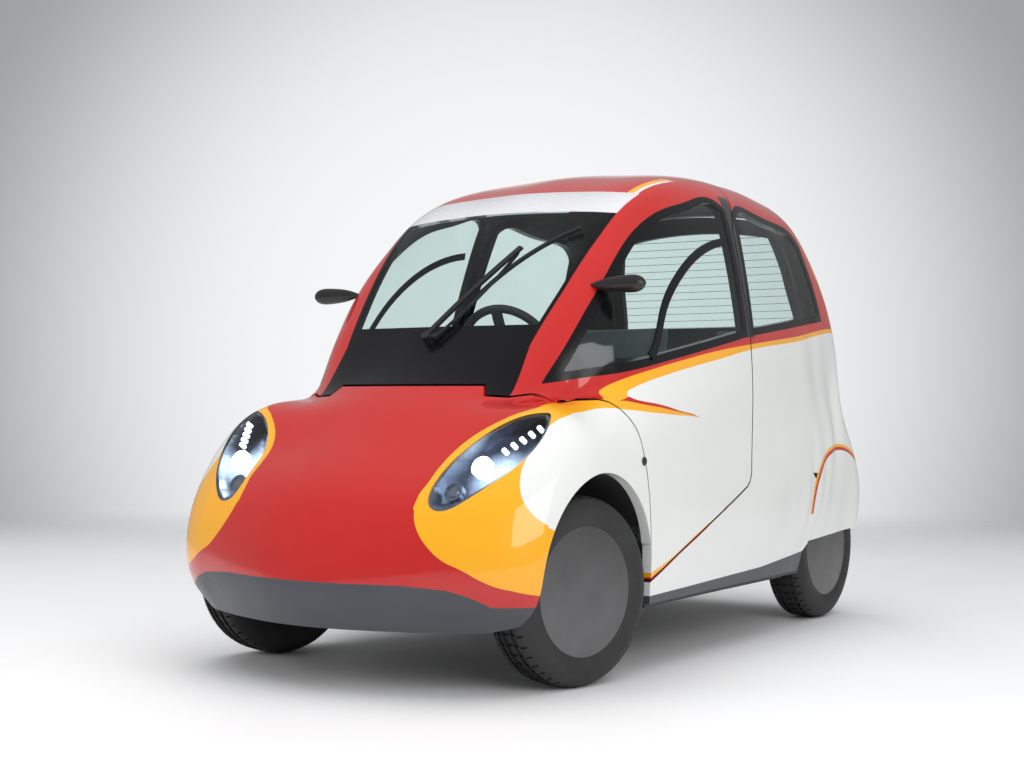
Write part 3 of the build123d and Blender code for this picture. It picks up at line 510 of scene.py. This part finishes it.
def heated_glass():
    """Clear glass crossed by fine heater lines."""
    nodes = Nodes("heated_glass")
    _, _, z = nodes.parts()
    line = nodes.math("LESS_THAN", nodes.math("FRACT", nodes.math("DIVIDE", z, 0.028)), 0.05)
    wire = nodes.principled(Base_Color=rgba((0.10, 0.06, 0.04)), Roughness=0.5)
    clear = pane(nodes, WINDOW_TINT)
    return nodes.finish(nodes.add("ShaderNodeMixShader", i0=line, i1=clear, i2=wire).outputs[0])


def dotted_white():
    """White print of fine dots."""
    nodes = Nodes("dotted_print")
    cells = nodes.add("ShaderNodeTexVoronoi", Vector=nodes.coords, Scale=170.0, Randomness=0.0)
    dots = nodes.above(cells.outputs["Distance"], 0.42, 0.1)
    return nodes.finish(nodes.principled(
        Base_Color=nodes.mix(dots, rgba((0.88, 0.88, 0.90)), rgba((0.62, 0.62, 0.66))), Roughness=0.25,
        Coat_Weight=1.0, Coat_Roughness=0.02, Normal=nodes.bump(nodes.noise(700.0), 0.05, 0.0003)))


def rubber():
    """Tyre rubber with a dusty bloom."""
    nodes = Nodes("tyre_rubber")
    return nodes.finish(nodes.principled(
        Base_Color=nodes.mix(nodes.noise(18.0, 6.0), rgba((0.012, 0.012, 0.013)), rgba((0.032, 0.031, 0.032))),
        Roughness=nodes.math("MULTIPLY_ADD", nodes.noise(40.0), 0.2, 0.52),
        Normal=nodes.bump(nodes.noise(1500.0, 3.0), 0.35, 0.0005)))


def fabric(name, colour):
    """Woven cloth: two crossed waves over a soft mottling."""
    nodes = Nodes(name)
    weave = nodes.both(nodes.waves(260.0, "X", 0.6), nodes.waves(260.0, "Z", 0.6))
    return nodes.finish(nodes.principled(
        Base_Color=nodes.mix(nodes.noise(30.0, 5.0), rgba(colour, 0.75), rgba(colour, 1.25)), Roughness=0.88,
        Sheen_Weight=0.3, Normal=nodes.bump(weave, 0.45, 0.0008)))


def lamp_glow(name, colour, strength):
    """A lit lamp part, white and blue, with brighter and dimmer spots."""
    nodes = Nodes(name)
    return nodes.finish(nodes.principled(
        Base_Color=rgba((0.7, 0.75, 0.8)), Roughness=0.12, Emission_Color=rgba(colour),
        Emission_Strength=nodes.math("MULTIPLY_ADD", nodes.noise(90.0, 2.0), strength, strength * 0.5)))


def bowl_with_painted_glow():
    """The lamp's bowl: bright metal with a painted glow round the main light, standing in for that lamp's light
    on the bowl; no glow is painted at its lower end, which stays dark.
    """
    nodes = Nodes("lamp_bowl_painted_glow")
    x, y, z = nodes.parts()
    place = nodes.add("ShaderNodeCombineXYZ", i0=x, i1=y, i2=z)
    # The glow below is painted light: the main lamp's light on the bowl, painted as emission that fades away from
    # its middle
    apart = nodes.vector("DISTANCE", place.outputs[0], PAINTED_GLOW_MIDDLE).outputs["Value"]
    near = nodes.math("SUBTRACT", 1.0, nodes.math("DIVIDE", apart, PAINTED_GLOW_REACH), clamp=True)
    # Painted glints: noise makes the painted glow brighter and dimmer, like light caught by the bowl's facets
    painted_glints = nodes.math("MULTIPLY_ADD", nodes.noise(70.0), 5.0, 3.0)
    return nodes.finish(nodes.principled(
        Base_Color=nodes.mix(nodes.noise(40.0, 3.0), rgba((0.16, 0.18, 0.23)), rgba((0.42, 0.46, 0.55))),
        Roughness=0.25, Metallic=0.9, Emission_Color=rgba((0.62, 0.80, 1.0)),
        Emission_Strength=nodes.both(nodes.math("POWER", near, 1.6), painted_glints)))


def red_lens():
    """Ribbed red lamp plastic."""
    nodes = Nodes("red_lens")
    return nodes.finish(nodes.principled(
        Base_Color=nodes.mix(nodes.noise(20.0), rgba((0.42, 0.006, 0.006)), rgba((0.60, 0.012, 0.010))),
        Roughness=0.14, Coat_Weight=1.0, Coat_Roughness=0.02,
        Normal=nodes.bump(nodes.waves(60.0, "X"), 0.3, 0.001)))


def find_material(name):
    """A material made earlier, or a clear error."""
    material = bpy.data.materials.get(name)
    if material is None:
        raise RuntimeError(f"the material {name} has to be made first")
    return material


def cover(prefixes, material):
    """Gives every shown CAD node whose name starts with a prefix one material."""
    for name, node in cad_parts.items():
        if name.startswith(prefixes):
            node.data.materials.clear()
            node.data.materials.append(material)


class CITYCAR_OT_materials(bpy.types.Operator):
    """Make every material and lay it over the fixed nodes"""

    bl_idname = "citycar.materials"
    bl_label = "Materials and livery"

    def execute(self, context):
        livery = context.scene.city_car_livery
        side = side_paint(livery)
        rear = rear_paint(livery)
        cover(("",), plastic("structure_black", (0.030, 0.030, 0.032), 0.5))
        cover(("front_clip",), nose_paint(livery))
        cover(("canopy_shell", "lower_side"), side)
        cover(("rear_body", "rear_bumper", "tailgate"), rear)
        cover(("rear_spat",), spat_paint(livery))
        cover(("front_bumper", "sill"), plastic("bumper_grey", (0.058, 0.062, 0.075), 0.36, 1400.0, 0.12))
        cover(("windscreen", "door_glass", "rear_side_glass"), glass("window_glass", WINDOW_TINT))
        cover(("cowl", "windscreen_surround", "door_window_frame", "rear_window_frame", "pane_frame"),
              plastic("gloss_black", (0.006, 0.006, 0.007), 0.20, 500.0, 0.04, 0.28))
        cover(("mirror", "wiper"), plastic("satin_black", (0.016, 0.016, 0.017), 0.32, 700.0, 0.12))
        cover(("header_band",), dotted_white())
        cover(("tailgate_glass",), heated_glass())
        cover(("headlamp_lens",), glass("lamp_glass", (0.95, 0.97, 1.0)))
        # The headlamp's bowl gets a painted glow of the main lamp's light
        cover(("headlamp_unit",), bowl_with_painted_glow())
        cover(("tail_lamp",), red_lens())
        cover(("tyre",), rubber())
        cover(("wheel",), metal("disc_grey", (0.165, 0.162, 0.165), 0.36, 1200.0, 0.85))
        cover(("front_subframe", "rear_beam"), metal("frame_steel", (0.16, 0.16, 0.17), 0.5))
        cover(("knuckle",), metal("cast_iron", (0.10, 0.10, 0.105), 0.6))
        cover(("engine",), metal("engine_alloy", (0.35, 0.35, 0.36), 0.45))
        cover(("dashboard", "steering_column", "steering_wheel"),
              plastic("dash_black", (0.030, 0.031, 0.034), 0.45, 1600.0, 0.3))
        cover(("seat",), fabric("seat_cloth", (0.10, 0.108, 0.118)))
        plastic("belt_black", (0.02, 0.02, 0.021), 0.6, 2500.0, 0.5)
        plastic("belt_yellow", (0.75, 0.34, 0.02), 0.55, 2500.0, 0.5)
        metal("lamp_chrome", (0.42, 0.45, 0.52), 0.22)
        metal("bright_edge", (0.72, 0.72, 0.73), 0.2)
        lamp_glow("lamp_white", (0.80, 0.90, 1.0), 6.0)
        lamp_glow("lamp_dots", (0.85, 0.93, 1.0), 1.6)
        return {"FINISHED"}


def parked_turn(node):
    """The turn of a front wheel as parked; a rear wheel has none."""
    return Matrix.Rotation(-radians(PARKED_STEER), 4, "Z") if "front" in node else Matrix.Identity(4)


def tyre_pitch(settings):
    """One pitch of the plain tyre as a new piece: its section at a few turns about the x axis."""
    section = TYRE_SIDE + [(0.0, settings.radius)] + [(-x, r) for x, r in reversed(TYRE_SIDE)]
    count = len(section)
    step = 2 * pi / settings.pitches / TYRE_SLICES
    verts = [(x, r * cos(step * k), r * sin(step * k)) for k in range(TYRE_SLICES + 1) for x, r in section]
    starts = [k * count + i for k in range(TYRE_SLICES) for i in range(count - 1)]
    mesh = bpy.data.meshes.new("tyre_pitch")
    mesh.from_pydata(verts, [], [(a, a + 1, a + count + 1, a + count) for a in starts])
    piece = bpy.data.objects.new("tyre_pitch", mesh)
    bpy.context.scene.collection.objects.link(piece)
    return piece


def sink_grooves(piece, depth):
    """Pushes the grooves of one pitch towards the axle in edit mode."""
    bpy.ops.mesh.select_all(action="DESELECT")
    mesh = bmesh.from_edit_mesh(piece.data)
    mesh.faces.ensure_lookup_table()
    across = 2 * len(TYRE_SIDE)
    for face in mesh.faces:
        k, i = divmod(face.index, across)
        i = min(i, across - 1 - i)
        band = i in GROOVE_BANDS
        face.select = band or (i in GROOVE_SHOULDERS and k == 0) or (i in GROOVE_BLOCKS and k == BLOCK_SLICE)
    bmesh.update_edit_mesh(piece.data)
    bpy.ops.mesh.extrude_region_shrink_fatten(TRANSFORM_OT_shrink_fatten={"value": 0.0})
    mesh = bmesh.from_edit_mesh(piece.data)
    for vert in {v for f in mesh.faces if f.select for v in f.verts}:
        vert.co -= Vector((0, vert.co.y, vert.co.z)).normalized() * depth
    bmesh.update_edit_mesh(piece.data)


def make_tyre(name, node, body, settings):
    """A tyre with cut grooves in place of the plain one: one pitch is shaped in edit mode and spun round."""
    low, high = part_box(node)
    piece = tyre_pitch(settings)
    activate(piece)
    bpy.ops.object.mode_set(mode="EDIT")
    sink_grooves(piece, settings.groove)
    bpy.ops.mesh.select_all(action="SELECT")
    more = settings.pitches - 1
    bpy.ops.mesh.spin(steps=more, dupli=True, angle=2 * pi * more / settings.pitches, center=(0, 0, 0),
                      axis=(1, 0, 0))
    bpy.ops.object.mode_set(mode="OBJECT")
    clean_mesh(piece, 0.00008)
    piece.data.transform(Matrix.Translation((low + high) / 2) @ parked_turn(node))
    place_in_mesh(piece, name, find_material("tyre_rubber"), body)
    smooth(piece, 30)
    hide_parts(node)
    return piece


def disc_edge(name, node, body, side):
    """The thin bright edge round a wheel's disc."""
    low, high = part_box(node)
    turn = parked_turn(node)
    bpy.ops.mesh.primitive_torus_add(major_radius=DISC_EDGE_RADIUS, minor_radius=DISC_EDGE_THICKNESS,
                                     major_segments=96, minor_segments=8, rotation=(0, pi / 2, 0))
    piece = bpy.context.object
    activate(piece)
    bpy.ops.object.transform_apply(location=True, rotation=True, scale=True)
    middle = (low + high) / 2 + turn @ Vector((side * DISC_EDGE_X, 0, 0))
    piece.data.transform(Matrix.Translation(middle) @ turn)
    smooth(piece, 60)
    place_in_mesh(piece, name, find_material("bright_edge"), body)


class CITYCAR_OT_tyres(bpy.types.Operator):
    """Build the four tyres with tread and the bright edges of their discs"""

    bl_idname = "citycar.tyres"
    bl_label = "Tyres"

    def execute(self, context):
        settings = context.scene.city_car_tyres
        for end in ("front", "rear"):
            for side, word in SIDES:
                node = f"tyre_{end}_{word}"
                body = f"wheel_{end}_{word}"
                tyre = make_tyre(f"{node}_tread", node, body, settings)
                if len(tyre.data.polygons) < 1000:
                    raise RuntimeError(f"the tread of {node} has too few faces")
                disc_edge(f"disc_edge_{end}_{word}", node, body, side)
        return {"FINISHED"}


def swell(piece, settings):
    """Swells a piece as cloth under pressure, and caps how far each of its points moves."""
    cloth = piece.modifiers.new("cloth", "CLOTH")
    cloth.settings.use_pressure = True
    cloth.settings.uniform_pressure_force = 4.0
    cloth.settings.effector_weights.gravity = 0.0
    cloth.settings.quality = 5
    cloth.point_cache.frame_start = 1
    cloth.point_cache.frame_end = settings.frames
    before = [v.co.copy() for v in piece.data.vertices]
    for number in range(1, settings.frames + 1):
        bpy.context.scene.frame_set(number)
    bpy.context.view_layer.update()
    swollen = piece.evaluated_get(bpy.context.evaluated_depsgraph_get())
    after = [v.co.copy() for v in swollen.data.vertices]
    piece.modifiers.clear()
    if len(after) != len(before):
        raise RuntimeError(f"the cloth of {piece.name} changed its number of points")
    for vert, was, now in zip(piece.data.vertices, before, after):
        move = now - was
        if move.length > settings.swell:
            move = move.normalized() * settings.swell
        vert.co = was + move
    bpy.context.scene.frame_set(1)


def puffed_seat(node, settings, material):
    """A padded seat in place of the plain solid: remeshed, swollen as cloth and smoothed."""
    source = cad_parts[node]
    deselect()
    piece = source.copy()
    piece.data = source.data.copy()
    piece.parent = None
    for key in [k for k in piece.keys() if k.startswith("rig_")]:
        del piece[key]
    bpy.context.scene.collection.objects.link(piece)
    activate(piece)
    bevel = piece.modifiers.new("round", "BEVEL")
    bevel.width = 0.022
    bevel.segments = 4
    bevel.limit_method = "ANGLE"
    bpy.ops.object.modifier_apply(modifier="round")
    remesh = piece.modifiers.new("remesh", "REMESH")
    remesh.mode = "VOXEL"
    remesh.voxel_size = 0.014
    bpy.ops.object.modifier_apply(modifier="remesh")
    swell(piece, settings)
    soften = piece.modifiers.new("soften", "SMOOTH")
    soften.iterations = 4
    bpy.ops.object.modifier_apply(modifier="soften")
    place_in_mesh(piece, f"{node}_cushions", material, "body")
    smooth(piece, 60)
    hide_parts(node)


def strap(name, points, width, material, body):
    """A flat strap with soft edges: a thin rectangle at each point, joined from end to end."""
    points = [Vector(p) for p in points]
    verts, faces = [], []
    for i, point in enumerate(points):
        along = (points[min(i + 1, len(points) - 1)] - points[max(i - 1, 0)]).normalized()
        out = Vector((1, 0, 0)).cross(along).normalized()
        wide = along.cross(out).normalized()
        for a, b in ((-1, -1), (1, -1), (1, 1), (-1, 1)):
            verts.append(point + wide * (a * width / 2) + out * (b * BELT_THICKNESS / 2))
    for start in range(0, 4 * (len(points) - 1), 4):
        for k in range(4):
            a, b = start + k, start + (k + 1) % 4
            faces.append((a, b, b + 4, a + 4))
    last = 4 * (len(points) - 1)
    faces.append((0, 1, 2, 3))
    faces.append((last, last + 1, last + 2, last + 3))
    mesh = bpy.data.meshes.new(name)
    mesh.from_pydata([tuple(v) for v in verts], [], faces)
    piece = bpy.data.objects.new(name, mesh)
    bpy.context.scene.collection.objects.link(piece)
    clean_mesh(piece)
    activate(piece)
    bevel = piece.modifiers.new("edge", "BEVEL")
    bevel.width = BELT_THICKNESS * 0.3
    bevel.segments = 2
    bevel.limit_method = "ANGLE"
    bpy.ops.object.modifier_apply(modifier="edge")
    place_in_mesh(piece, name, find_material(material), body)
    smooth(piece, 40)


def rounded_box(name, centre, size, material, body):
    """A box with softened edges at its place."""
    bpy.ops.mesh.primitive_cube_add(size=1, location=centre)
    piece = bpy.context.object
    piece.scale = size
    bpy.ops.object.transform_apply(location=True, rotation=True, scale=True)
    bpy.ops.object.mode_set(mode="EDIT")
    bpy.ops.mesh.select_all(action="SELECT")
    bpy.ops.mesh.bevel(offset=0.008, segments=4, affect="EDGES")
    bpy.ops.object.mode_set(mode="OBJECT")
    place_in_mesh(piece, name, find_material(material), body)
    smooth(piece, 40)


class CITYCAR_OT_cabin(bpy.types.Operator):
    """Pad the seats and add the belts"""

    bl_idname = "citycar.cabin"
    bl_label = "Cabin"

    def execute(self, context):
        settings = context.scene.city_car_cabin
        material = find_material("seat_cloth")
        for node in ("seat_driver", "seat_passenger_left", "seat_passenger_right"):
            puffed_seat(node, settings, material)
        for side, word in SIDES:
            x = side * DRIVER_BELT_X
            strap(f"driver_belt_{word}", [(x * share, y, z) for share, y, z in DRIVER_BELT], settings.webbing,
                  "belt_yellow", "body")
            rounded_box(f"driver_belt_guide_{word}", (x, 0.345, 0.935), BELT_GUIDE_SIZE, "belt_black", "body")
            strap(f"passenger_belt_{word}", [(side * x, y, z) for x, y, z in PASSENGER_BELT], settings.webbing,
                  "belt_yellow", "body")
        return {"FINISHED"}


def on_side(place, side):
    """A place on the left side, or its mirror image on the right."""
    return (side * place[0], place[1], place[2])


def lamp_disc(name, centre, radius, material, body):
    """A round light: the front of a short cylinder, inset and pushed back in rings."""
    bpy.ops.mesh.primitive_cylinder_add(vertices=40, radius=radius, depth=0.02, location=centre,
                                        rotation=(radians(60), 0, 0))
    piece = bpy.context.object
    bpy.ops.object.mode_set(mode="EDIT")
    bpy.ops.mesh.select_all(action="DESELECT")
    mesh = bmesh.from_edit_mesh(piece.data)
    caps = [face for face in mesh.faces if len(face.verts) > 4]
    front = min(caps, key=lambda face: (piece.matrix_world @ face.calc_center_median()).y)
    front.select = True
    bmesh.update_edit_mesh(piece.data)
    for share, push in ((0.12, 0.0), (0.05, -0.006), (0.2, 0.0), (0.1, 0.004)):
        bpy.ops.mesh.inset(thickness=radius * share, depth=push)
    bpy.ops.object.mode_set(mode="OBJECT")
    place_in_mesh(piece, name, find_material(material), body)
    smooth(piece, 35)


class CITYCAR_OT_lamps(bpy.types.Operator):
    """Fill the headlamps and add the side repeaters"""

    bl_idname = "citycar.lamps"
    bl_label = "Lamps"

    def execute(self, context):
        for side, word in SIDES:
            lamp_disc(f"headlamp_main_{word}", on_side(MAIN_LIGHT, side), MAIN_RADIUS, "lamp_white", "body")
            lamp_disc(f"headlamp_low_{word}", on_side(LOW_LIGHT, side), LOW_RADIUS, "lamp_chrome", "body")
            for i in range(SPOTS):
                spot = Vector(FIRST_SPOT).lerp(Vector(LAST_SPOT), i / (SPOTS - 1))
                lamp_disc(f"headlamp_spot_{word}_{i}", on_side(spot, side), SPOT_RADIUS, "lamp_dots", "body")
            bpy.ops.mesh.primitive_uv_sphere_add(segments=24, ring_count=12, radius=0.013,
                                                 location=on_side(REPEATER, side))
            repeater = bpy.context.object
            repeater.scale = (0.35, 1, 1)
            place_in_mesh(repeater, f"side_repeater_{word}", find_material("satin_black"), "body")
            smooth(repeater, 60)
        return {"FINISHED"}


def area_light(name, place, target, size, power, mirrored):
    """One rectangular light aimed at a point; only a mirrored one shows in glossy surfaces."""
    data = bpy.data.lights.new(name, "AREA")
    data.shape = "RECTANGLE"
    data.size, data.size_y = size
    data.energy = power
    light = bpy.data.objects.new(name, data)
    light.location = place
    light.visible_glossy = mirrored
    light.rotation_mode = "QUATERNION"
    light.rotation_quaternion = (Vector(target) - light.location).to_track_quat("-Z", "Y")
    bpy.context.scene.collection.objects.link(light)
    return light


def make_floor(away):
    """A pale floor that fades out behind the car."""
    nodes = Nodes("studio_floor")
    tone = nodes.mix(nodes.noise(1.5, 3.0), rgba((0.86, 0.86, 0.87)), rgba((0.91, 0.91, 0.92)))
    solid = nodes.principled(Base_Color=tone, Roughness=0.55, Specular_IOR_Level=0.25)
    depth = nodes.vector("DOT_PRODUCT", nodes.coords, away).outputs["Value"]
    fade = nodes.add("ShaderNodeMapRange", i0=depth, i1=3.2, i2=6.4)
    fade.interpolation_type = "SMOOTHSTEP"
    clear = nodes.add("ShaderNodeBsdfTransparent")
    mixed = nodes.add("ShaderNodeMixShader", i0=fade.outputs[0], i1=solid, i2=clear.outputs[0])
    bpy.ops.mesh.primitive_plane_add(size=60, location=(0, 0, 0))
    floor = bpy.context.object
    floor.name = "studio_floor"
    floor.data.materials.append(nodes.finish(mixed.outputs[0]))


def make_backdrop(away):
    """A pale surrounding that is brightest behind the car."""
    world = bpy.data.worlds.new("studio")
    world.use_nodes = True
    tree = world.node_tree
    near = tree.nodes.new("ShaderNodeVectorMath")
    near.operation = "DOT_PRODUCT"
    near.inputs[1].default_value = (away + Vector((0, 0, 0.03))).normalized()
    tree.links.new(tree.nodes.new("ShaderNodeTexCoord").outputs["Generated"], near.inputs[0])
    spread = tree.nodes.new("ShaderNodeMapRange")
    spread.interpolation_type = "SMOOTHSTEP"
    for place, value in enumerate((cos(radians(21.0)), cos(radians(4.0)), 0.36, 0.93), start=1):
        spread.inputs[place].default_value = value
    tree.links.new(near.outputs["Value"], spread.inputs[0])
    background = tree.nodes["Background"]
    background.inputs["Color"].default_value = (0.99, 1.0, 1.01, 1)
    tree.links.new(spread.outputs[0], background.inputs["Strength"])
    bpy.context.scene.world = world


def make_camera(settings):
    """The camera at the photo's place."""
    data = bpy.data.cameras.new("main_camera")
    data.lens = settings.lens
    data.sensor_width = 36.0
    camera = bpy.data.objects.new("main_camera", data)
    bpy.context.scene.collection.objects.link(camera)
    camera.location = CAMERA_PLACE
    azimuth, pitch = radians(settings.azimuth), radians(CAMERA_PITCH)
    back = Vector((sin(azimuth) * cos(pitch), -cos(azimuth) * cos(pitch), sin(pitch)))
    camera.rotation_mode = "QUATERNION"
    roll = Matrix.Rotation(radians(CAMERA_ROLL), 4, back)
    camera.rotation_quaternion = roll.to_quaternion() @ (-back).to_track_quat("-Z", "Y")
    bpy.context.scene.camera = camera


class CITYCAR_OT_stage(bpy.types.Operator):
    """Set the floor, the backdrop, the lights and the camera"""

    bl_idname = "citycar.stage"
    bl_label = "Studio"

    def execute(self, context):
        settings = context.scene.city_car_studio
        away = Vector((-sin(radians(settings.azimuth)), cos(radians(settings.azimuth)), 0))
        make_floor(away)
        make_backdrop(away)
        lights = [area_light(name, place, target, size, settings.key * share, mirrored)
                  for name, place, target, size, share, mirrored in LIGHTS]
        make_camera(settings)
        context.scene.view_settings.view_transform = "Standard"
        return {"FINISHED"}


class CITYCAR_PT_panel(bpy.types.Panel):
    """Buttons and settings of the city car."""

    bl_idname = "CITYCAR_PT_panel"
    bl_label = "City Car"
    bl_space_type = "VIEW_3D"
    bl_region_type = "UI"
    bl_category = "City Car"

    def draw(self, context):
        layout = self.layout
        scene = context.scene
        for group, operators in (
            (scene.city_car_livery, ("citycar.materials", "citycar.lamps")),
            (scene.city_car_tyres, ("citycar.tyres",)),
            (scene.city_car_cabin, ("citycar.cabin",)),
            (scene.city_car_studio, ("citycar.stage",)),
        ):
            box = layout.box()
            for key in group.__annotations__:
                box.prop(group, key)
            for operator in operators:
                box.operator(operator)


CLASSES = (
    CityCarLiverySettings,
    CityCarTyreSettings,
    CityCarCabinSettings,
    CityCarStudioSettings,
    CITYCAR_OT_materials,
    CITYCAR_OT_tyres,
    CITYCAR_OT_cabin,
    CITYCAR_OT_lamps,
    CITYCAR_OT_stage,
    CITYCAR_PT_panel,
)
GROUPS = {
    "city_car_livery": CityCarLiverySettings,
    "city_car_tyres": CityCarTyreSettings,
    "city_car_cabin": CityCarCabinSettings,
    "city_car_studio": CityCarStudioSettings,
}


def register():
    """Adds the classes and their settings."""
    for entry in CLASSES:
        bpy.utils.register_class(entry)
    for key, group in GROUPS.items():
        setattr(bpy.types.Scene, key, bpy.props.PointerProperty(type=group))


def unregister():
    """Takes the classes and their settings away again."""
    for key in GROUPS:
        delattr(bpy.types.Scene, key)
    for entry in reversed(CLASSES):
        bpy.utils.unregister_class(entry)


def main():
    """Registers the add-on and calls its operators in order."""
    register()
    bpy.ops.citycar.materials()
    bpy.ops.citycar.tyres()
    bpy.ops.citycar.cabin()
    bpy.ops.citycar.lamps()
    bpy.ops.citycar.stage()


if __name__ == "__main__":
    main()
